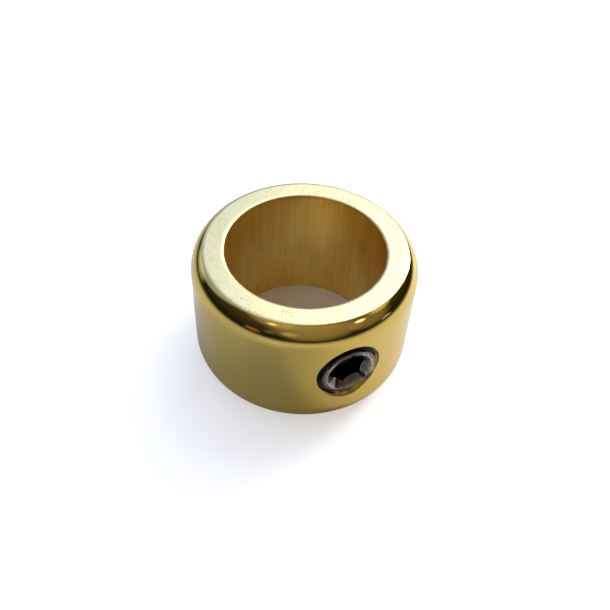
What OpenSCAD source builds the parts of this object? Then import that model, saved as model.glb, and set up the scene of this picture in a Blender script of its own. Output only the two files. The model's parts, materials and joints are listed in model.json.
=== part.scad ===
// Plain shaft collar: a short gold-plated ring with rounded rims and one
// radial M8 socket set screw that clamps it on a rod or tube.
// Origin at the centre of the bottom face, +Z along the bore.
// The set screw points along +Y, from the outside towards the bore.

/* [Collar] */
// Outside diameter of the ring
collar_d = 28; // [27:0.25:32]
// Diameter of the bore
bore_d = 19.8; // [17:0.1:20]
// Height of the ring along the bore
collar_h = 16.75; // [16:0.25:22]
// How far the rounded rims come in from the outside, across the end faces
rim_in = 1.5; // [0.8:0.05:2]
// Radius of the rims' rounding, which the flat end faces cut off at an edge
rim_r = 3.6; // [2.5:0.1:3.8]
// Size of the small 45 degree chamfer at each end of the bore
bore_chamfer = 0.1; // [0.05:0.05:0.3]

/* [Set screw] */
// Nominal diameter of the screw's thread
screw_d = 8; // [7:0.5:8]
// Distance that the thread advances in one turn
thread_pitch = 1.25; // [1:0.05:1.25]
// Length of the screw from face to tip
screw_l = 3.9; // [3.5:0.05:3.95]
// Height of the screw's axis above the bottom face
screw_z = 8.9; // [8:0.1:9]
// Width across the flats of the hexagon socket
hex_af = 4; // [3:0.5:4]
// Depth of the hexagon socket
hex_depth = 2.4; // [1.5:0.1:2.6]
// How far the hexagon is turned about the screw's axis, clockwise from outside
hex_turn = -18; // [-30:1:30]
// Radius of the narrow flat ring between the socket's mouth and the screw's chamfer
ridge_r = 2.9; // [2.8:0.05:3.1]
// Width of that ring
ridge_w = 0.1; // [0.05:0.05:0.2]
// Length of the chamfer on the screw's outer end, along its axis
face_chamfer = 0.5; // [0.3:0.05:0.8]
// How far the screw's face lies behind the collar's outside
screw_inset = 0.1; // [0:0.05:0.15]

/* [Fit] */
// Radial gap between the screw and its hole
screw_gap = 0.05; // [0.02:0.01:0.1]
// Radius of the countersunk mouth, where it meets the collar's outside
mouth_r = 4.4; // [4.2:0.05:4.6]

/* [Hidden] */
$fn = 96;
// How far each cutting shape runs past the surface that it cuts
cut = 1;
// Straight segments in the arc of each rim
rim_steps = 12;
collar_r = collar_d / 2;
bore_r = bore_d / 2;
screw_r = screw_d / 2;
hole_r = screw_r + screw_gap;
// Depth of a 60 degree thread's groove under its crest, as a share of the pitch
groove_share = 0.6134;
thread_depth = groove_share * thread_pitch;
root_r = screw_r - thread_depth;
// Place of the screw's outer face along Y
face_y = -(collar_r - screw_inset);
// Turn of the rim's arc where it meets the flat end face, and its height
rim_angle = acos(1 - rim_in / rim_r);
rim_down = rim_r * sin(rim_angle);
// Radius at the hexagon's corners
hex_r = hex_af / 2 / cos(30);
// The socket's mouth is a 45 degree cone that scallops the hexagon's flats. It
// narrows until it is inside the hexagon, this far from the flats.
hex_mouth_overlap = 0.2;
hex_mouth_r = ridge_r - ridge_w / 2;
hex_mouth_inner_r = hex_af / 2 - hex_mouth_overlap;
hex_mouth_depth = hex_mouth_r - hex_mouth_inner_r;

// Points of an arc from the side of a rim to its end face. It is tangent to the
// side and meets the face at an edge. side is 1 for the top rim, -1 for the bottom.
function rim_arc(z_start, side) = [
    for (i = [0 : rim_steps]) let (a = rim_angle * i / rim_steps)
        [collar_r - rim_r * (1 - cos(a)), z_start + side * rim_r * sin(a)]
];

// Points of a list in the opposite order
function reversed(points) = [for (i = [len(points) - 1 : -1 : 0]) points[i]];

// Half of the ring's section: bore on the left, rounded rims on the right
module collar_section() {
    polygon(concat(
        [[bore_r, collar_h - bore_chamfer], [bore_r, bore_chamfer], [bore_r + bore_chamfer, 0]],
        reversed(rim_arc(rim_down, -1)),
        rim_arc(collar_h - rim_down, 1),
        [[bore_r + bore_chamfer, collar_h]]
    ));
}

// Turns a shape drawn along +Z so that it runs along +Y at the screw's height,
// starting at the given y
module along_screw_axis(y) {
    translate([0, y, screw_z]) rotate([-90, 0, 0]) children();
}

// Radial hole through the wall, with its 45 degree countersink
module screw_hole() {
    along_screw_axis(-collar_r - cut) cylinder(h = collar_r + cut, r = hole_r);
    along_screw_axis(-collar_r - cut)
        cylinder(h = mouth_r + cut - hole_r, r1 = mouth_r + cut, r2 = hole_r);
}

module collar() {
    color("goldenrod") difference() {
        rotate_extrude() collar_section();
        screw_hole();
    }
}

// Hexagon socket with its conical mouth, opening towards -Z
module hex_socket() {
    translate([0, 0, -cut]) rotate([0, 0, hex_turn])
        cylinder(h = hex_depth + cut, r = hex_r, $fn = 6);
    translate([0, 0, -cut]) cylinder(
        h = hex_mouth_depth + cut, r1 = hex_mouth_r + cut, r2 = hex_mouth_inner_r
    );
}

// Screw drawn at its thread's crest diameter, chamfered at both ends
module set_screw() {
    color("dimgray") along_screw_axis(face_y) difference() {
        rotate_extrude() polygon([
            [0, 0], [ridge_r + ridge_w / 2, 0], [screw_r, face_chamfer],
            [screw_r, screw_l - thread_depth], [root_r, screw_l], [0, screw_l]
        ]);
        hex_socket();
    }
}

collar();
set_screw();
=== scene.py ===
import json
import math

import bmesh
import bpy
from mathutils import Matrix, Vector, noise


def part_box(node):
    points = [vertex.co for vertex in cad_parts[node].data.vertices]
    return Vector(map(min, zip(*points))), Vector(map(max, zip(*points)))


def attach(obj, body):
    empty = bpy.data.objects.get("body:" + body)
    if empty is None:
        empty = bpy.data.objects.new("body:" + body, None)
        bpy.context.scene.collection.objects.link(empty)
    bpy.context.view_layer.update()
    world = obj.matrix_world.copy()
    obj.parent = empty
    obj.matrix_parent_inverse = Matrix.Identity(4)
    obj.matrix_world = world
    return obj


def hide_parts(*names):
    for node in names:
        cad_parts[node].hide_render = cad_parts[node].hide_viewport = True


# A gold-plated collar and its black socket set screw, on a pale table.
# The collar's axis is Z. The screw lies along Y, with its socket facing -Y.

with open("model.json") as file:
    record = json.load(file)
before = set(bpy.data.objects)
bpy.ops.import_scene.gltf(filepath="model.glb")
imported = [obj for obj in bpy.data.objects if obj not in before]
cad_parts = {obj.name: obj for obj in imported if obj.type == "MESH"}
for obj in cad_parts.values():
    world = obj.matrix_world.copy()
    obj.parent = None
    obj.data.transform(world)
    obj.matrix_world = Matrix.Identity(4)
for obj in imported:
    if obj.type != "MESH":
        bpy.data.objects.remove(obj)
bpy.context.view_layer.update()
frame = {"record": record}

MM = 0.001

# ---------------------------------------------------------------- sizes, in metres

collar_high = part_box("collar")[1]
screw_low, screw_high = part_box("set_screw")
bore_mount = next(m for m in frame["record"]["mounts"] if m["name"] == "bore")

HEIGHT = collar_high.z
OUTER_R = collar_high.x
BORE_R = bore_mount["dims"]["r_mm"] * MM
# A rim is an arc from the side to the end face, where it stops at an edge
RIM_IN = 1.5 * MM
RIM_R = 3.6 * MM
RIM_ANGLE = math.acos(1 - RIM_IN / RIM_R)
RIM_DOWN = RIM_R * math.sin(RIM_ANGLE)
BORE_CHAMFER = 0.1 * MM
# Raggedness of the bore's edges: its size, and a finer noise on top of a broad one
BURR = 0.03 * MM
BURR_SCALE = 28
BURR_FINE_SHARE = 0.6
BURR_FINE_SCALE = 2.7

SCREW_Z = (screw_low.z + screw_high.z) / 2
SCREW_FACE_Y = screw_low.y
SCREW_LENGTH = screw_high.y - screw_low.y
# How much smaller the thread's crest is than the plain cylinder that it replaces
CREST_PLAY = 0.04 * MM
SCREW_R = (screw_high.x - screw_low.x) / 2 - CREST_PLAY
PITCH = 1.25 * MM
# Shares of the pitch in a 60 degree thread: its depth, half its crest, and one flank
GROOVE_SHARE = 0.6134
CREST_HALF_SHARE = 1 / 16
FLANK_SHARE = 0.354
THREAD_DEPTH = GROOVE_SHARE * PITCH
ROOT_R = SCREW_R - THREAD_DEPTH
# Gaps between the screw and its hole: at the screw's root, and along the thread
ROOT_PLAY = 0.09 * MM
THREAD_GAP = 0.05 * MM
HOLE_MINOR_R = ROOT_R + ROOT_PLAY
MOUTH_R = 4.4 * MM
MOUTH_ROUND = 0.1 * MM
FACE_CHAMFER = 0.5 * MM
RIDGE_R = 2.95 * MM
RIDGE_RISE = 0.02 * MM
# Where the ridge's rounded top starts and ends, as shares of its width
RIDGE_TOP_START = 0.25
RIDGE_TOP_END = 0.6
# Depth of the first row of the screw's outside, just past the ridge
OUTSIDE_START = 0.06 * MM
# Small ring round the centre of the screw's flat tip
TIP_RING_R = 0.3 * ROOT_R

HEX_HALF_WIDTH = 2 * MM
HEX_DEPTH = 2.4 * MM
HEX_TURN = math.radians(18)
SOCKET_MOUTH_R = 2.87 * MM
SOCKET_MOUTH_ANGLE = math.radians(45)
# The drilled hollow at the socket's bottom, with a blunt cone at its centre
DRILL_DEPTH = 0.6 * MM
DRILL_R = 0.92 * HEX_HALF_WIDTH
DRILL_TIP_R = 0.15 * DRILL_R
DRILL_TIP_DEPTH = 1.1 * DRILL_DEPTH

# Wear of the screw and its painted shade: 1 is bare steel, 0 is its oxide, and -1 is painted shade in
# the chamfer, where the screw sinks into the hole
RIDGE_WEAR = 1.0
RIDGE_OUTER_WEAR = 0.9
HEX_EDGE_WEAR = 0.35
MOUTH_WEAR_POWER = 4
RUBBED_WEAR = 0.7
RUBBED_DEPTH = 0.22 * MM
# Depths at which the painted shade in the chamfer starts and is full
SCREW_SHADE_START = 0.21 * MM
SCREW_SHADE_FULL = 0.285 * MM

# Mesh resolution: columns round the collar, points round the screw and its hole
COLUMNS = 256
ROUND = 144
# Rows of points across each stretch of the surfaces
RIM_ROWS = 20
SIDE_ROWS = 4
FACE_ROWS = 8
BORE_ROWS = 8
HOLE_ROWS = 84
WINDOW_ROWS = 9
EDGE_BEND_ROWS = 5
SOCKET_ROWS = 6
SCREW_ROWS = 90
# Two places closer than this are the same
SAME_PLACE = 1e-8
# Steps that bring a guess of where the hole meets the wall to its true place
SETTLING_STEPS = 60
# The hole's window in the wall: its columns on the outside and in the bore.
# Two sides of columns and two of rows together have ROUND points.
OUTSIDE_WINDOW_COLUMNS = 36
BORE_WINDOW_COLUMNS = 40
WINDOW_HALF_HEIGHT = min(SCREW_Z, HEIGHT - SCREW_Z) - RIM_DOWN


# ---------------------------------------------------------------- mesh building

class Skin:
    """The surface of one piece, built up ring by ring."""

    def __init__(self):
        self.points = []
        self.wear_and_shade = []
        self.faces = []
        self.finishes = []
        self.creases = []
        self.normals = {}

    def ring(self, points, wear_and_shade=0.0):
        """Adds points that share one value of wear and painted shade. Returns their numbers."""
        first = len(self.points)
        self.points.extend(points)
        self.wear_and_shade.extend([wear_and_shade] * len(points))
        return list(range(first, len(self.points)))

    def face(self, corners, finish):
        """Adds a face, with the number of its finish."""
        self.faces.append(corners)
        self.finishes.append(finish)

    def bridge(self, a, b, finish):
        """Quads between two closed rings of the same length."""
        for k in range(len(a)):
            after = (k + 1) % len(a)
            self.face((a[k], a[after], b[after], b[k]), finish)

    def close(self, ring, centre, finish):
        """Triangles from a closed ring to one centre point."""
        tip = self.ring([centre])[0]
        for k in range(len(ring)):
            self.face((ring[k], ring[(k + 1) % len(ring)], tip), finish)

    def crease_ring(self, ring):
        """Makes a closed ring a sharp edge."""
        for k in range(len(ring)):
            self.creases.append((ring[k], ring[(k + 1) % len(ring)]))

    def build(self, name, materials):
        """Makes the object, with its sharp edges and its exact normals."""
        mesh = bpy.data.meshes.new(name)
        mesh.from_pydata([tuple(p) for p in self.points], [], self.faces)
        for material in materials:
            mesh.materials.append(material)
        mesh.polygons.foreach_set("material_index", self.finishes)
        wear_and_shade = mesh.attributes.new("wear_and_shade", "FLOAT", "POINT")
        wear_and_shade.data.foreach_set("value", self.wear_and_shade)
        work = bmesh.new()
        work.from_mesh(mesh)
        work.verts.ensure_lookup_table()
        for a, b in self.creases:
            edge = work.edges.get((work.verts[a], work.verts[b]))
            if edge:
                edge.smooth = False
        for face in work.faces:
            face.smooth = True
        bmesh.ops.recalc_face_normals(work, faces=work.faces)
        work.to_mesh(mesh)
        work.free()
        if self.normals:
            keep = Vector((0, 0, 0))
            mesh.normals_split_custom_set_from_vertices(
                [self.normals.get(i, keep) for i in range(len(self.points))]
            )
        piece = bpy.data.objects.new(name, mesh)
        bpy.context.scene.collection.objects.link(piece)
        return piece


def steps(start, end, count):
    """count + 1 evenly spaced values from start to end."""
    return [start + (end - start) * i / count for i in range(count + 1)]


def on_cylinder(radius, turn, z):
    """A point at an angle from the screw's side of the collar, -Y, towards +X."""
    return Vector((radius * math.sin(turn), -radius * math.cos(turn), z))


def round_screw(radius, angle, y):
    """A point round the screw's axis. The angle is from +X towards +Z."""
    return Vector((radius * math.cos(angle), y, SCREW_Z + radius * math.sin(angle)))


# ---------------------------------------------------------------- thread

def thread_share(y, angle):
    """Height of the right-hand thread's ridge, from 0 at its root to 1 at its crest."""
    place = ((y - SCREW_FACE_Y) / PITCH + angle / math.tau) % 1
    from_crest = min(place, 1 - place)
    return min(1.0, max(0.0, 1 - (from_crest - CREST_HALF_SHARE) / FLANK_SHARE))


def screw_thread_r(y, angle):
    """Radius of the screw's thread."""
    return ROOT_R + THREAD_DEPTH * thread_share(y, angle)


def hole_thread_r(y, angle):
    """Radius of the hole's thread, which leaves a gap all round the screw's."""
    return max(HOLE_MINOR_R, screw_thread_r(y, angle) + THREAD_GAP)


# ---------------------------------------------------------------- collar

# Finishes, in the order of the collar's materials
POLISHED, SATIN, DRAWN, TAPPED = range(4)


def collar_outline():
    """Closed outline of the wall: (radius, height, finish up to the next point, crease)."""
    bore_edge_r = BORE_R + BORE_CHAMFER
    face_rows = steps(bore_edge_r, OUTER_R - RIM_IN, FACE_ROWS)[1:-1]
    rows = [(bore_edge_r, 0, SATIN, True)]
    rows += [(r, 0, SATIN, False) for r in face_rows]
    for angle in steps(RIM_ANGLE, 0, RIM_ROWS)[:-1]:
        rows.append((
            OUTER_R - RIM_R * (1 - math.cos(angle)),
            RIM_DOWN - RIM_R * math.sin(angle), POLISHED, angle == RIM_ANGLE,
        ))
    side_rows = steps(RIM_DOWN, SCREW_Z - WINDOW_HALF_HEIGHT, SIDE_ROWS)[:-1]
    side_rows += window_heights(OUTSIDE_WINDOW_COLUMNS)
    rows += [(OUTER_R, z, POLISHED, False) for z in side_rows]
    for angle in steps(0, RIM_ANGLE, RIM_ROWS)[1:]:
        rows.append((
            OUTER_R - RIM_R * (1 - math.cos(angle)),
            HEIGHT - RIM_DOWN + RIM_R * math.sin(angle), POLISHED, False,
        ))
    rows[-1] = rows[-1][:2] + (SATIN, True)
    rows += [(r, HEIGHT, SATIN, False) for r in reversed(face_rows)]
    rows.append((bore_edge_r, HEIGHT, SATIN, True))
    window = window_heights(BORE_WINDOW_COLUMNS)
    bore_rows = steps(HEIGHT - BORE_CHAMFER, window[-1], BORE_ROWS)[:-1]
    bore_rows += reversed(window)
    bore_rows += steps(window[0], BORE_CHAMFER, BORE_ROWS)[1:]
    rows += [(BORE_R, z, DRAWN, False) for z in bore_rows]
    rows[-1] = (BORE_R, BORE_CHAMFER, SATIN, True)
    return rows


def window_heights(columns):
    """Heights of the rows that cross the hole's window, lowest first."""
    return steps(SCREW_Z - WINDOW_HALF_HEIGHT, SCREW_Z + WINDOW_HALF_HEIGHT, ROUND // 2 - columns)


def turn_of(column):
    """Angle of a column. The screw is at the middle one, where it is 0."""
    return math.tau * (column / COLUMNS - 0.5)


def burr(turn, z):
    """Small raggedness of the bore's sharp edge."""
    place = Vector((math.sin(turn), math.cos(turn), z / HEIGHT)) * BURR_SCALE
    fine = noise.noise(place * BURR_FINE_SCALE)
    return BURR * (noise.noise(place) + BURR_FINE_SHARE * fine)


def is_bore_edge(radius, z, crease):
    """Whether a row of the outline is a sharp edge of the bore, which is ragged."""
    near_bore = radius < BORE_R + BORE_CHAMFER + SAME_PLACE
    return near_bore and (crease or abs(z - HEIGHT + BORE_CHAMFER) < SAME_PLACE)


def lathe(skin, outline):
    """Turns the outline round Z, and leaves both of the hole's windows open.
    Returns the rows of point numbers."""
    rows = []
    for radius, z, _, crease in outline:
        ragged = is_bore_edge(radius, z, crease)
        rows.append(skin.ring([
            on_cylinder(radius + (burr(turn_of(c), z) if ragged else 0), turn_of(c), z)
            for c in range(COLUMNS)
        ]))
    for number, row in enumerate(rows):
        following = rows[(number + 1) % len(rows)]
        radius, z, finish, crease = outline[number]
        for c in range(COLUMNS):
            after = (c + 1) % COLUMNS
            middle_z = (z + outline[(number + 1) % len(rows)][1]) / 2
            if not in_window(radius, middle_z, c):
                skin.face((row[c], row[after], following[after], following[c]), finish)
        if crease:
            skin.crease_ring(row)
    return rows


def in_window(radius, z, column):
    """Whether a face of the plain wall lies in one of the hole's windows."""
    if radius == OUTER_R:
        half = OUTSIDE_WINDOW_COLUMNS // 2
    elif radius == BORE_R:
        half = BORE_WINDOW_COLUMNS // 2
    else:
        return False
    return abs(z - SCREW_Z) < WINDOW_HALF_HEIGHT and -half <= column - COLUMNS // 2 < half


def window_border(rows, outline, wall_r, columns):
    """Point numbers of a window's border, anticlockwise as seen from outside.
    The first is the one at the lower left corner."""
    heights = window_heights(columns)
    inside = [
        number for number, (radius, z, _, _) in enumerate(outline)
        if radius == wall_r and heights[0] - SAME_PLACE < z < heights[-1] + SAME_PLACE
    ]
    inside.sort(key=lambda number: outline[number][1])
    left = COLUMNS // 2 - columns // 2
    right = left + columns
    border = [rows[inside[0]][c] for c in range(left, right)]
    border += [rows[number][right] for number in inside[:-1]]
    border += [rows[inside[-1]][c] for c in range(right, left, -1)]
    border += [rows[number][left] for number in reversed(inside[1:])]
    return border


def hole_angle(k):
    """Angle round the screw's axis of point k of a ring. Point 0 is at the lower left."""
    return math.tau * k / ROUND - 0.75 * math.pi


def turned_to_hole(border, columns):
    """The border's points from the one that belongs to the hole's point 0."""
    first = (columns - ROUND // 4) // 2
    return border[first:] + border[:first]


def wall_crossing(radius_at, wall_r, angle):
    """Radius at which a surface round the screw's axis meets the wall, and its y."""
    radius = radius_at(-wall_r)
    for _ in range(SETTLING_STEPS):
        y = -math.sqrt(wall_r ** 2 - (radius * math.cos(angle)) ** 2)
        radius = (radius + radius_at(y)) / 2
    return radius, y


def countersink_r(y):
    """Radius of the 45 degree countersink at a place along the screw's axis."""
    return MOUTH_R - (y + OUTER_R)


def mouth_r(y):
    """Radius of the hole's mouth. It never gets narrower than the screw's crest needs."""
    return max(countersink_r(y), SCREW_R + THREAD_GAP)


def curve_through(start, corner, end, count):
    """Points of a smooth bend between start and end, both left out."""
    return [
        start * (1 - s) ** 2 + corner * 2 * s * (1 - s) + end * s ** 2
        for s in steps(0, 1, count)[1:-1]
    ]


def on_wall(wall_r, radius, angle):
    """The wall's point at a distance from the screw's axis, measured across it."""
    point = round_screw(radius, angle, 0)
    point.y = -math.sqrt(wall_r ** 2 - point.x ** 2)
    return point


def rounded_edge(radius_at, wall_r, angle, inwards):
    """Points from inside the hole, over its rounded edge, to the wall.
    inwards is the way into the hole along Y, +1 from outside and -1 from the bore."""
    edge_r, edge_y = wall_crossing(radius_at, wall_r, angle)
    inner_y = edge_y + inwards * MOUTH_ROUND
    inner = round_screw(radius_at(inner_y), angle, inner_y)
    edge = round_screw(edge_r, angle, edge_y)
    outer = on_wall(wall_r, edge_r + MOUTH_ROUND, angle)
    return [inner] + curve_through(inner, edge, outer, EDGE_BEND_ROWS) + [outer]


def tapped_r(y, angle):
    """Radius of the whole hole, with its thread and countersink."""
    return max(hole_thread_r(y, angle), countersink_r(y))


def tap_hole(skin, rows, outline):
    """The countersunk, threaded hole through the wall, joined to both windows."""
    outside = []
    inside = []
    tube = []
    for k in range(ROUND):
        angle = hole_angle(k)
        mouth = rounded_edge(mouth_r, OUTER_R, angle, 1)
        exit_edge = rounded_edge(lambda y: tapped_r(y, angle), BORE_R, angle, -1)
        outside.append(mouth)
        inside.append(exit_edge)
        ys = steps(mouth[0].y, exit_edge[0].y, HOLE_ROWS)[1:-1]
        tube.append([round_screw(tapped_r(y, angle), angle, y) for y in ys])
    rings = [skin.ring([column[i] for column in outside]) for i in reversed(range(len(outside[0])))]
    rings += [skin.ring([column[i] for column in tube]) for i in range(len(tube[0]))]
    rings += [skin.ring([column[i] for column in inside]) for i in range(len(inside[0]))]
    for a, b in zip(rings, rings[1:]):
        skin.bridge(a, b, TAPPED)
    join_window(skin, rows, outline, rings[0], OUTER_R, OUTSIDE_WINDOW_COLUMNS, POLISHED)
    join_window(skin, rows, outline, rings[-1], BORE_R, BORE_WINDOW_COLUMNS, DRAWN)


def join_window(skin, rows, outline, ring, wall_r, columns, finish):
    """Rings on the wall from the hole's edge out to its window's border."""
    border = turned_to_hole(window_border(rows, outline, wall_r, columns), columns)
    last = ring
    for share in steps(0, 1, WINDOW_ROWS)[1:-1]:
        points = []
        for a, b in zip(ring, border):
            start = skin.points[a]
            end = skin.points[b]
            start_turn = math.asin(start.x / wall_r)
            end_turn = math.asin(end.x / wall_r)
            points.append(on_cylinder(
                wall_r,
                start_turn + (end_turn - start_turn) * share,
                start.z + (end.z - start.z) * share,
            ))
        row = skin.ring(points)
        skin.bridge(last, row, finish)
        last = row
    skin.bridge(last, border, finish)


def set_wall_normals(skin):
    """Gives every point on the plain side and bore its exact radial normal."""
    bore_bottom = BORE_CHAMFER + SAME_PLACE
    bore_top = HEIGHT - BORE_CHAMFER - SAME_PLACE
    for number, point in enumerate(skin.points):
        radius = math.hypot(point.x, point.y)
        outward = Vector((point.x, point.y, 0)).normalized()
        if abs(radius - OUTER_R) < SAME_PLACE and RIM_DOWN <= point.z <= HEIGHT - RIM_DOWN:
            skin.normals[number] = outward
        if abs(radius - BORE_R) < SAME_PLACE and bore_bottom < point.z < bore_top:
            skin.normals[number] = -outward


def make_collar(materials):
    skin = Skin()
    outline = collar_outline()
    rows = lathe(skin, outline)
    tap_hole(skin, rows, outline)
    set_wall_normals(skin)
    return skin.build("collar_ring", materials)


# ---------------------------------------------------------------- set screw

# Finishes, in the order of the screw's materials
OXIDE, SOCKET = range(2)
HEX_SIDES = 6


def screw_angle(k):
    """Angle of point k of the screw's rings. The hexagon's corners fall on points."""
    return math.tau * k / ROUND + HEX_TURN


def hex_r(k):
    """Distance from the axis to the hexagon's wall, in the direction of point k."""
    side = math.tau / HEX_SIDES
    from_flat = (math.tau * k / ROUND) % side - side / 2
    return HEX_HALF_WIDTH / math.cos(from_flat)


def screw_ring(skin, radius_of, depth_of, wear_and_shade=0.0):
    """A ring of the screw. The functions give radius and depth for each point's number."""
    return skin.ring([
        round_screw(radius_of(k), screw_angle(k), SCREW_FACE_Y + depth_of(k))
        for k in range(ROUND)
    ], wear_and_shade)


def socket_mouth_depth(k):
    """Depth at which the conical mouth meets the hexagon's wall, beside point k."""
    return (SOCKET_MOUTH_R - hex_r(k)) / math.tan(SOCKET_MOUTH_ANGLE)


def add_socket(skin):
    """Hexagon socket, from its drilled bottom to its conical mouth. Returns the mouth's ring."""
    bottom = screw_ring(skin, lambda k: DRILL_TIP_R, lambda k: HEX_DEPTH + DRILL_DEPTH)
    skin.close(bottom, round_screw(0, 0, SCREW_FACE_Y + HEX_DEPTH + DRILL_TIP_DEPTH), SOCKET)
    drilled = screw_ring(skin, lambda k: DRILL_R, lambda k: HEX_DEPTH)
    skin.bridge(bottom, drilled, SOCKET)
    skin.crease_ring(drilled)
    last = screw_ring(skin, hex_r, lambda k: HEX_DEPTH)
    skin.bridge(drilled, last, SOCKET)
    skin.crease_ring(last)
    for share in steps(0, 1, SOCKET_ROWS)[1:]:
        row = screw_ring(
            skin, hex_r,
            lambda k: HEX_DEPTH + (socket_mouth_depth(k) - HEX_DEPTH) * share,
            HEX_EDGE_WEAR if share == 1 else 0.0,
        )
        skin.bridge(last, row, SOCKET)
        for k in range(0, ROUND, ROUND // HEX_SIDES):
            skin.creases.append((last[k], row[k]))
        last = row
    skin.crease_ring(last)
    for share in steps(0, 1, SOCKET_ROWS)[1:]:
        row = screw_ring(
            skin,
            lambda k: hex_r(k) + (SOCKET_MOUTH_R - hex_r(k)) * share,
            lambda k: socket_mouth_depth(k) * (1 - share),
            share ** MOUTH_WEAR_POWER,
        )
        skin.bridge(last, row, OXIDE)
        last = row
    return last


def face_profile():
    """(radius, depth, wear) of the rounded ridge between socket and chamfer."""
    ridge = RIDGE_R - SOCKET_MOUTH_R
    return [
        (SOCKET_MOUTH_R + RIDGE_TOP_START * ridge, -RIDGE_RISE, RIDGE_WEAR),
        (SOCKET_MOUTH_R + RIDGE_TOP_END * ridge, -RIDGE_RISE, RIDGE_WEAR),
        (RIDGE_R, RIDGE_RISE, RIDGE_OUTER_WEAR),
    ]


def screw_outside_r(depth, angle):
    """Radius of the threaded outside, chamfered at both ends."""
    slope = (SCREW_R - RIDGE_R) / FACE_CHAMFER
    face_side = RIDGE_R + slope * depth
    tip_side = ROOT_R + SCREW_LENGTH - depth
    return min(screw_thread_r(SCREW_FACE_Y + depth, angle), face_side, tip_side)


def outside_wear_and_shade(depth):
    """Wear down the outside: rubbed bare at the face, then painted shade further in."""
    rubbed = max(0.0, 1 - depth / RUBBED_DEPTH) * RUBBED_WEAR
    screw_shade = (depth - SCREW_SHADE_START) / (SCREW_SHADE_FULL - SCREW_SHADE_START)
    return rubbed - min(1.0, max(0.0, screw_shade))


def make_set_screw(materials):
    skin = Skin()
    last = add_socket(skin)
    for radius, depth, wear_and_shade in face_profile():
        row = screw_ring(skin, lambda k: radius, lambda k: depth, wear_and_shade)
        skin.bridge(last, row, OXIDE)
        last = row
    for depth in steps(OUTSIDE_START, SCREW_LENGTH, SCREW_ROWS):
        row = screw_ring(
            skin,
            lambda k: screw_outside_r(depth, screw_angle(k)),
            lambda k: depth,
            outside_wear_and_shade(depth),
        )
        skin.bridge(last, row, OXIDE)
        last = row
    skin.crease_ring(last)
    inner = screw_ring(skin, lambda k: TIP_RING_R, lambda k: SCREW_LENGTH)
    skin.bridge(last, inner, OXIDE)
    skin.close(inner, round_screw(0, 0, SCREW_FACE_Y + SCREW_LENGTH), OXIDE)
    return skin.build("socket_set_screw", materials)


# ---------------------------------------------------------------- materials

class Nodes:
    """Short forms for building a material's node tree."""

    def __init__(self, name):
        self.material = bpy.data.materials.new(name)
        self.material.use_nodes = True
        self.tree = self.material.node_tree
        self.shader = self.tree.nodes["Principled BSDF"]
        self.place = self.add("ShaderNodeTexCoord").outputs["Object"]

    def add(self, kind, **settings):
        node = self.tree.nodes.new(kind)
        for key, value in settings.items():
            setattr(node, key, value)
        return node

    def feed(self, socket, value):
        """Links an output to a socket, or sets the socket's own value."""
        if isinstance(value, bpy.types.NodeSocket):
            self.tree.links.new(value, socket)
        else:
            socket.default_value = value

    def stretched(self, scale):
        node = self.add("ShaderNodeMapping")
        self.feed(node.inputs["Vector"], self.place)
        self.feed(node.inputs["Scale"], scale)
        return node.outputs["Vector"]

    def noise(self, scale, detail, stretch=(1, 1, 1), roughness=0.5):
        """Noise whose scale is in features per metre."""
        node = self.add("ShaderNodeTexNoise")
        self.feed(node.inputs["Vector"], self.stretched(stretch))
        self.feed(node.inputs["Scale"], scale)
        self.feed(node.inputs["Detail"], detail)
        self.feed(node.inputs["Roughness"], roughness)
        return node.outputs["Fac"]

    def between(self, value, low, high, to_low=0.0, to_high=1.0):
        """value, spread so that low to high becomes to_low to to_high."""
        node = self.add("ShaderNodeMapRange")
        self.feed(node.inputs["Value"], value)
        self.feed(node.inputs["From Min"], low)
        self.feed(node.inputs["From Max"], high)
        self.feed(node.inputs["To Min"], to_low)
        self.feed(node.inputs["To Max"], to_high)
        return node.outputs["Result"]

    def blend(self, share, first, second):
        """Colour between first and second."""
        node = self.add("ShaderNodeMix", data_type="RGBA")
        self.feed(node.inputs["Factor"], share)
        colours = [s for s in node.inputs if s.type == "RGBA"]
        self.feed(colours[0], first)
        self.feed(colours[1], second)
        return next(s for s in node.outputs if s.type == "RGBA")

    def calculate(self, operation, *values):
        node = self.add("ShaderNodeMath", operation=operation)
        for socket, value in zip(node.inputs, values):
            self.feed(socket, value)
        return node.outputs[0]

    def bump(self, height, distance, strength=1.0, below=None):
        node = self.add("ShaderNodeBump")
        self.feed(node.inputs["Height"], height)
        self.feed(node.inputs["Distance"], distance)
        self.feed(node.inputs["Strength"], strength)
        if below is not None:
            self.feed(node.inputs["Normal"], below)
        return node.outputs["Normal"]

    def attribute(self, name):
        return self.add("ShaderNodeAttribute", attribute_name=name).outputs["Fac"]

    def finish(self, **inputs):
        for key, value in inputs.items():
            self.feed(self.shader.inputs[key.replace("_", " ")], value)
        return self.material


GOLD = (0.87, 0.62, 0.13, 1)
GOLD_PALE = (0.90, 0.68, 0.21, 1)
GOLD_DEEP = (0.82, 0.53, 0.13, 1)
GOLD_SATIN = (0.97, 0.88, 0.48, 1)
GOLD_PIT = (0.42, 0.30, 0.09, 1)
GOLD_BORE_DARK = (0.85, 0.57, 0.15, 1)
GOLD_BORE_LIGHT = (0.95, 0.73, 0.24, 1)
GOLD_TARNISHED = (0.62, 0.36, 0.09, 1)
# Painted shade inside the tapped hole
GOLD_HOLE_SHADE = (0.34, 0.24, 0.09, 1)


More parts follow.
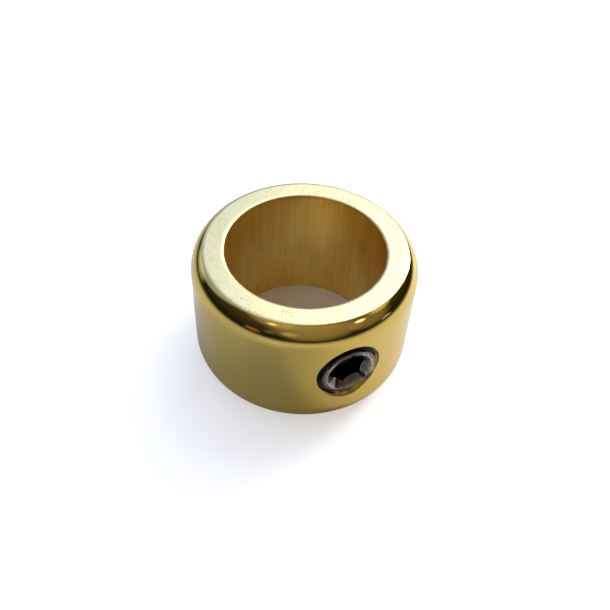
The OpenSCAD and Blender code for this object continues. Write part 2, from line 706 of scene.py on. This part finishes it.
def polished_gold():
    """Mirror-polished plating, with faint clouds, smears and hairline scratches."""
    nodes = Nodes("gold_polished")
    cloud = nodes.noise(160, 3)
    smear = nodes.noise(420, 4, (1, 1, 0.35))
    scratches = nodes.noise(5200, 2, (1, 1, 0.03))
    colour = nodes.blend(nodes.between(cloud, 0.3, 0.7, 0, 0.5), GOLD, GOLD_PALE)
    roughness = nodes.between(smear, 0.35, 0.75, 0.035, 0.10)
    wavy = nodes.bump(nodes.noise(330, 1), 0.004 * MM)
    normal = nodes.bump(scratches, 0.0004 * MM, 1.0, wavy)
    return nodes.finish(Base_Color=colour, Metallic=1.0, Roughness=roughness, Normal=normal)


def satin_gold():
    """Turned end face: a fine grain, with patches of small darker pits."""
    nodes = Nodes("gold_satin")
    grain = nodes.noise(7800, 3, roughness=0.65)
    cloud = nodes.noise(500, 3)
    specks = nodes.noise(7600, 1)
    patchy = nodes.between(cloud, 0.38, 0.62, 0.15, 0.85)
    pits = nodes.calculate("MULTIPLY", nodes.between(specks, 0.33, 0.41, 1, 0), patchy)
    colour = nodes.blend(pits, GOLD_SATIN, GOLD_PIT)
    roughness = nodes.between(cloud, 0.3, 0.7, 0.30, 0.40)
    normal = nodes.bump(grain, 0.035 * MM, 0.9)
    return nodes.finish(Base_Color=colour, Metallic=1.0, Roughness=roughness, Normal=normal)


def drawn_gold():
    """Bore: lines along its length, and tall streaks of tarnish."""
    nodes = Nodes("gold_drawn_bore")
    lines = nodes.noise(2600, 3, (1, 1, 0.02), 0.6)
    broad = nodes.noise(330, 3, (1, 1, 0.12))
    stain = nodes.noise(210, 4, (1, 1, 0.35))
    half_lines = nodes.calculate("MULTIPLY", lines, 0.5)
    half_broad = nodes.calculate("MULTIPLY", broad, 0.5)
    tone = nodes.calculate("ADD", half_lines, half_broad)
    clean = nodes.blend(nodes.between(tone, 0.35, 0.65), GOLD_BORE_DARK, GOLD_BORE_LIGHT)
    colour = nodes.blend(nodes.between(stain, 0.52, 0.74, 0, 0.5), clean, GOLD_TARNISHED)
    roughness = nodes.between(stain, 0.3, 0.7, 0.24, 0.38)
    normal = nodes.bump(lines, 0.012 * MM, 0.6)
    return nodes.finish(Base_Color=colour, Metallic=1.0, Roughness=roughness, Normal=normal)


def tapped_gold():
    """Countersink and thread, marked by the tap, with patches of painted shade that darken the hole."""
    nodes = Nodes("gold_tapped_hole")
    cloud = nodes.noise(900, 3)
    chatter = nodes.noise(3600, 2, (1, 0.2, 1))
    # Random patches of painted shade darken the countersink and thread
    colour = nodes.blend(nodes.between(cloud, 0.35, 0.65), GOLD_DEEP, GOLD_HOLE_SHADE)
    roughness = nodes.between(cloud, 0.3, 0.7, 0.10, 0.22)
    return nodes.finish(
        Base_Color=colour, Metallic=1.0, Roughness=roughness, Normal=nodes.bump(chatter, 0.008 * MM)
    )


BLACK_OXIDE = (0.13, 0.12, 0.10, 1)
OXIDE_WORN = (0.20, 0.18, 0.145, 1)
# Near black, for the painted shade deep in the screw's chamfer
SCREW_SHADE_BLACK = (0.012, 0.011, 0.010, 1)
BARE_STEEL = (0.62, 0.60, 0.54, 1)
# Painted shade of the deep socket: far darker than the oxide outside
SOCKET_SHADE_BLACK = (0.018, 0.017, 0.016, 1)


def oxide_steel():
    """Glossy black oxide, worn to bare steel on its edges, with painted shade deep in its chamfer."""
    nodes = Nodes("steel_black_oxide")
    patchy = nodes.noise(2400, 4, roughness=0.6)
    rubbed = nodes.between(nodes.attribute("wear_and_shade"), 0.0, 1.0)
    worn = nodes.calculate("MULTIPLY", rubbed, nodes.between(patchy, 0.30, 0.55))
    cloud = nodes.noise(1100, 2)
    dark = nodes.blend(nodes.between(cloud, 0.35, 0.65), BLACK_OXIDE, OXIDE_WORN)
    # Painted shade: the oxide turns near black deeper in the chamfer
    screw_shade = nodes.between(nodes.attribute("wear_and_shade"), 0.0, -1.0)
    dark = nodes.blend(screw_shade, dark, SCREW_SHADE_BLACK)
    colour = nodes.blend(worn, dark, BARE_STEEL)
    roughness = nodes.between(patchy, 0.3, 0.7, 0.08, 0.16)
    normal = nodes.bump(patchy, 0.012 * MM, 0.5)
    return nodes.finish(Base_Color=colour, Metallic=1.0, Roughness=roughness, Normal=normal)


def socket_steel():
    """Inside of the socket, broached along its length, made nearly black by painted shade."""
    nodes = Nodes("steel_socket")
    broached = nodes.noise(4200, 2, (1, 0.04, 1))
    worn = nodes.calculate("MULTIPLY", nodes.attribute("wear_and_shade"), 0.5)
    colour = nodes.blend(worn, SOCKET_SHADE_BLACK, BARE_STEEL)
    return nodes.finish(
        Base_Color=colour, Metallic=1.0,
        Roughness=nodes.between(broached, 0.3, 0.7, 0.28, 0.45),
        Normal=nodes.bump(broached, 0.02 * MM, 0.6),
    )


# ---------------------------------------------------------------- stage

# The camera's place, its angles in degrees, and its lens and sensor in millimetres
CAMERA_AZIMUTH = -25.6
CAMERA_BACK = 4.6626 * OUTER_R
CAMERA_HEIGHT = 5.4914 * OUTER_R
CAMERA_PITCH = 47.15
CAMERA_YAW = 0.29
CAMERA_ROLL = 3.59
CAMERA_LENS = 43.14
SENSOR = 36.0


def make_camera():
    """Camera on the screw's left, looking down at the collar, tilted a little."""
    data = bpy.data.cameras.new("camera")
    data.sensor_width = SENSOR
    data.lens = CAMERA_LENS
    data.clip_start = 0.01
    data.clip_end = 10
    camera = bpy.data.objects.new("camera", data)
    bpy.context.scene.collection.objects.link(camera)
    azimuth = math.radians(CAMERA_AZIMUTH)
    camera.location = (CAMERA_BACK * math.sin(azimuth), -CAMERA_BACK * math.cos(azimuth), CAMERA_HEIGHT)
    turn = Matrix.Rotation(azimuth - math.radians(CAMERA_YAW), 4, "Z")
    tilt = Matrix.Rotation(math.radians(90 - CAMERA_PITCH), 4, "X")
    roll = Matrix.Rotation(math.radians(CAMERA_ROLL), 4, "Z")
    camera.rotation_euler = (turn @ tilt @ roll).to_euler()
    bpy.context.scene.camera = camera


def aim(azimuth, elevation):
    """Unit vector from the collar. The azimuth is from the camera's side, growing to the right."""
    turn = math.radians(azimuth + CAMERA_AZIMUTH)
    rise = math.radians(elevation)
    level = math.cos(rise)
    return Vector((math.sin(turn) * level, -math.cos(turn) * level, math.sin(rise)))


TABLE_HALF_WIDTH = 1.5
TABLE_PALE = (0.86, 0.86, 0.86, 1)
TABLE_PALER = (0.90, 0.90, 0.895, 1)
# Light that only the camera sees, so that the table looks evenly pale. It grows from
# the collar outwards, and there is none inside the ring.
TABLE_LIFT_NEAR = 0.5
TABLE_LIFT = 0.62
LIFT_START = 0.97 * OUTER_R
LIFT_END = 1.6 * OUTER_R
NO_LIFT_R = 0.9 * OUTER_R
# Only reflections see painted shade on the far table: past the pale near part it turns dark brown
# between these distances
FAR_SHADE_START = 0.055
FAR_SHADE_FULL = 0.15
PAINTED_SHADE_BROWN = (0.05, 0.04, 0.03, 1)
# Only reflections see the soft shade in front, as if somebody leaned over the table
SHADE_DISTANCE = 0.030
SHADE_INNER = 0.001
SHADE_OUTER = 0.021
SHADE_DEPTH = 0.40


def table_material():
    """Pale table. The camera sees it lighter than the metal's reflections do."""
    nodes = Nodes("pale_table")
    seen = nodes.add("ShaderNodeLightPath").outputs["Is Camera Ray"]
    distance = nodes.add("ShaderNodeVectorMath", operation="LENGTH")
    nodes.feed(distance.inputs[0], nodes.place)
    grain = nodes.noise(60, 3)
    pale = nodes.blend(nodes.between(grain, 0.3, 0.7), TABLE_PALE, TABLE_PALER)
    far = nodes.between(distance.outputs["Value"], FAR_SHADE_START, FAR_SHADE_FULL)
    unseen = nodes.calculate("SUBTRACT", 1.0, seen)
    to_shade = nodes.add("ShaderNodeVectorMath", operation="DISTANCE")
    nodes.feed(to_shade.inputs[0], nodes.place)
    nodes.feed(to_shade.inputs[1], aim(0, 0) * SHADE_DISTANCE)
    shade = nodes.between(to_shade.outputs["Value"], SHADE_INNER, SHADE_OUTER, SHADE_DEPTH, 0)
    # Painted shade, for reflections only: the far table and the soft patch in front turn dark brown
    far_and_front_shade = nodes.calculate("MAXIMUM", far, shade)
    colour = nodes.blend(nodes.calculate("MULTIPLY", far_and_front_shade, unseen), pale, PAINTED_SHADE_BROWN)
    material = nodes.finish(Base_Color=colour, Roughness=0.7, Specular_IOR_Level=0.2)
    glow = nodes.add("ShaderNodeEmission")
    nodes.feed(glow.inputs["Color"], (1, 1, 1, 1))
    lift = nodes.between(distance.outputs["Value"], LIFT_START, LIFT_END, TABLE_LIFT_NEAR, TABLE_LIFT)
    outside_ring = nodes.calculate("GREATER_THAN", distance.outputs["Value"], NO_LIFT_R)
    nodes.feed(glow.inputs["Strength"], nodes.calculate("MULTIPLY", lift, outside_ring))
    choose = nodes.add("ShaderNodeMixShader")
    dark = nodes.add("ShaderNodeEmission")
    nodes.feed(dark.inputs["Strength"], 0.0)
    nodes.feed(choose.inputs[0], seen)
    nodes.feed(choose.inputs[1], dark.outputs[0])
    nodes.feed(choose.inputs[2], glow.outputs[0])
    both = nodes.add("ShaderNodeAddShader")
    nodes.feed(both.inputs[0], nodes.shader.outputs[0])
    nodes.feed(both.inputs[1], choose.outputs[0])
    nodes.feed(nodes.tree.nodes["Material Output"].inputs["Surface"], both.outputs[0])
    return material


def make_table():
    mesh = bpy.data.meshes.new("table")
    half = TABLE_HALF_WIDTH
    corners = [(-half, -half, 0), (half, -half, 0), (half, half, 0), (-half, half, 0)]
    mesh.from_pydata(corners, [], [(0, 1, 2, 3)])
    mesh.materials.append(table_material())
    table = bpy.data.objects.new("table", mesh)
    bpy.context.scene.collection.objects.link(table)


# Soft lights: name, azimuth, elevation, distance, width, height, radiance, colour
PANELS = (
    ("back_window", 147, 46, 0.9, 0.84, 0.62, 1.95, (1.0, 0.99, 0.96)),
    ("right_window", 138, 24, 0.8, 0.42, 0.34, 3.0, (1.0, 0.98, 0.94)),
    ("right_lamp", 130, 20, 0.14, 0.03, 0.03, 28, (1.0, 0.99, 0.97)),
)


def panel(name, azimuth, elevation, distance, width, height, radiance, colour):
    """A soft rectangular light that faces the collar. Radiance is the brightness that
    a mirror would show."""
    data = bpy.data.lights.new(name, "AREA")
    data.shape = "RECTANGLE"
    data.size = width
    data.size_y = height
    data.energy = radiance * math.pi * width * height
    data.color = colour
    light = bpy.data.objects.new(name, data)
    bpy.context.scene.collection.objects.link(light)
    away = aim(azimuth, elevation)
    centre = Vector((0, 0, HEIGHT / 2))
    light.location = centre + away * distance
    light.rotation_euler = away.to_track_quat("Z", "Y").to_euler()


def make_lights():
    for settings in PANELS:
        panel(*settings)


# Soft glows in the room: azimuth, elevation, inner and outer half-angle, colour
ROOM_GLOWS = (
    (14, 34, 14, 44, (0.23, 0.195, 0.15)),
    (-34, 52, 4, 22, (0.20, 0.20, 0.22)),
    (-139, 50, 42, 50, (0.30, 0.40, 0.70)),
    (-120, 6, 4, 18, (0.30, 0.38, 0.62)),
    (66, 22, 8, 24, (0.18, 0.14, 0.11)),
    (60, 35, 1, 6, (1.2, 1.35, 1.9)),
    (79, -1, 1, 7, (0.5, 0.6, 1.1)),
    (88, 38, 4, 14, (0.55, 0.56, 0.46)),
    (-31, 44, 1, 5, (0.9, 0.85, 0.7)),
    (-42, 3, 2, 9, (0.30, 0.10, 0.08)),
    (-10, 20, 2, 9, (0.20, 0.21, 0.24)),
    (-28, 14, 2, 6, (0.10, 0.09, 0.08)),
)
# The room's own colour: from the horizon down, part of the way up, and straight up
ROOM_LOW = (0.010, 0.008, 0.006, 1)
ROOM_MIDDLE = (0.05, 0.045, 0.04, 1)
ROOM_HIGH = (0.17, 0.165, 0.155, 1)
# Sine of the elevation at which the middle colour stands
ROOM_MIDDLE_HEIGHT = 0.55
# What the camera sees behind the table, in place of the room
PALE_WALL = (0.93, 0.93, 0.93, 1)


def add_glow(tree, direction, total, azimuth, elevation, inner, outer, colour):
    """Adds a soft glow to the room's colour so far. Returns the new colour."""
    closeness = tree.nodes.new("ShaderNodeVectorMath")
    closeness.operation = "DOT_PRODUCT"
    tree.links.new(direction, closeness.inputs[0])
    closeness.inputs[1].default_value = aim(azimuth, elevation)
    spread = tree.nodes.new("ShaderNodeMapRange")
    spread.interpolation_type = "SMOOTHSTEP"
    tree.links.new(closeness.outputs["Value"], spread.inputs["Value"])
    spread.inputs["From Min"].default_value = math.cos(math.radians(outer))
    spread.inputs["From Max"].default_value = math.cos(math.radians(inner))
    tint = tree.nodes.new("ShaderNodeVectorMath")
    tint.operation = "SCALE"
    tint.inputs[0].default_value = colour
    tree.links.new(spread.outputs["Result"], tint.inputs["Scale"])
    both = tree.nodes.new("ShaderNodeVectorMath")
    both.operation = "ADD"
    tree.links.new(total, both.inputs[0])
    tree.links.new(tint.outputs["Vector"], both.inputs[1])
    return both.outputs["Vector"]


def make_world():
    """A dim room with soft glows, for light and reflections. The camera sees a pale wall."""
    world = bpy.data.worlds.new("room")
    bpy.context.scene.world = world
    world.use_nodes = True
    tree = world.node_tree
    direction = tree.nodes.new("ShaderNodeTexCoord").outputs["Generated"]
    split = tree.nodes.new("ShaderNodeSeparateXYZ")
    ramp = tree.nodes.new("ShaderNodeValToRGB")
    tree.links.new(direction, split.inputs[0])
    tree.links.new(split.outputs["Z"], ramp.inputs["Fac"])
    stops = ramp.color_ramp.elements
    stops[0].color = ROOM_LOW
    stops[1].color = ROOM_HIGH
    stops.new(ROOM_MIDDLE_HEIGHT).color = ROOM_MIDDLE
    total = ramp.outputs["Color"]
    for glow in ROOM_GLOWS:
        total = add_glow(tree, direction, total, *glow)
    seen = tree.nodes.new("ShaderNodeLightPath").outputs["Is Camera Ray"]
    wall = tree.nodes.new("ShaderNodeMix")
    wall.data_type = "RGBA"
    colours = [socket for socket in wall.inputs if socket.type == "RGBA"]
    tree.links.new(seen, wall.inputs["Factor"])
    tree.links.new(total, colours[0])
    colours[1].default_value = PALE_WALL
    result = next(socket for socket in wall.outputs if socket.type == "RGBA")
    tree.links.new(result, tree.nodes["Background"].inputs["Color"])
    bpy.context.scene.view_settings.view_transform = "Standard"


# ---------------------------------------------------------------- the scene

make_camera()
make_world()
make_lights()
make_table()

collar = make_collar([polished_gold(), satin_gold(), drawn_gold(), tapped_gold()])
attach(collar, "collar")
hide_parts("collar")

set_screw = make_set_screw([oxide_steel(), socket_steel()])
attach(set_screw, "set_screw")
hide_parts("set_screw")
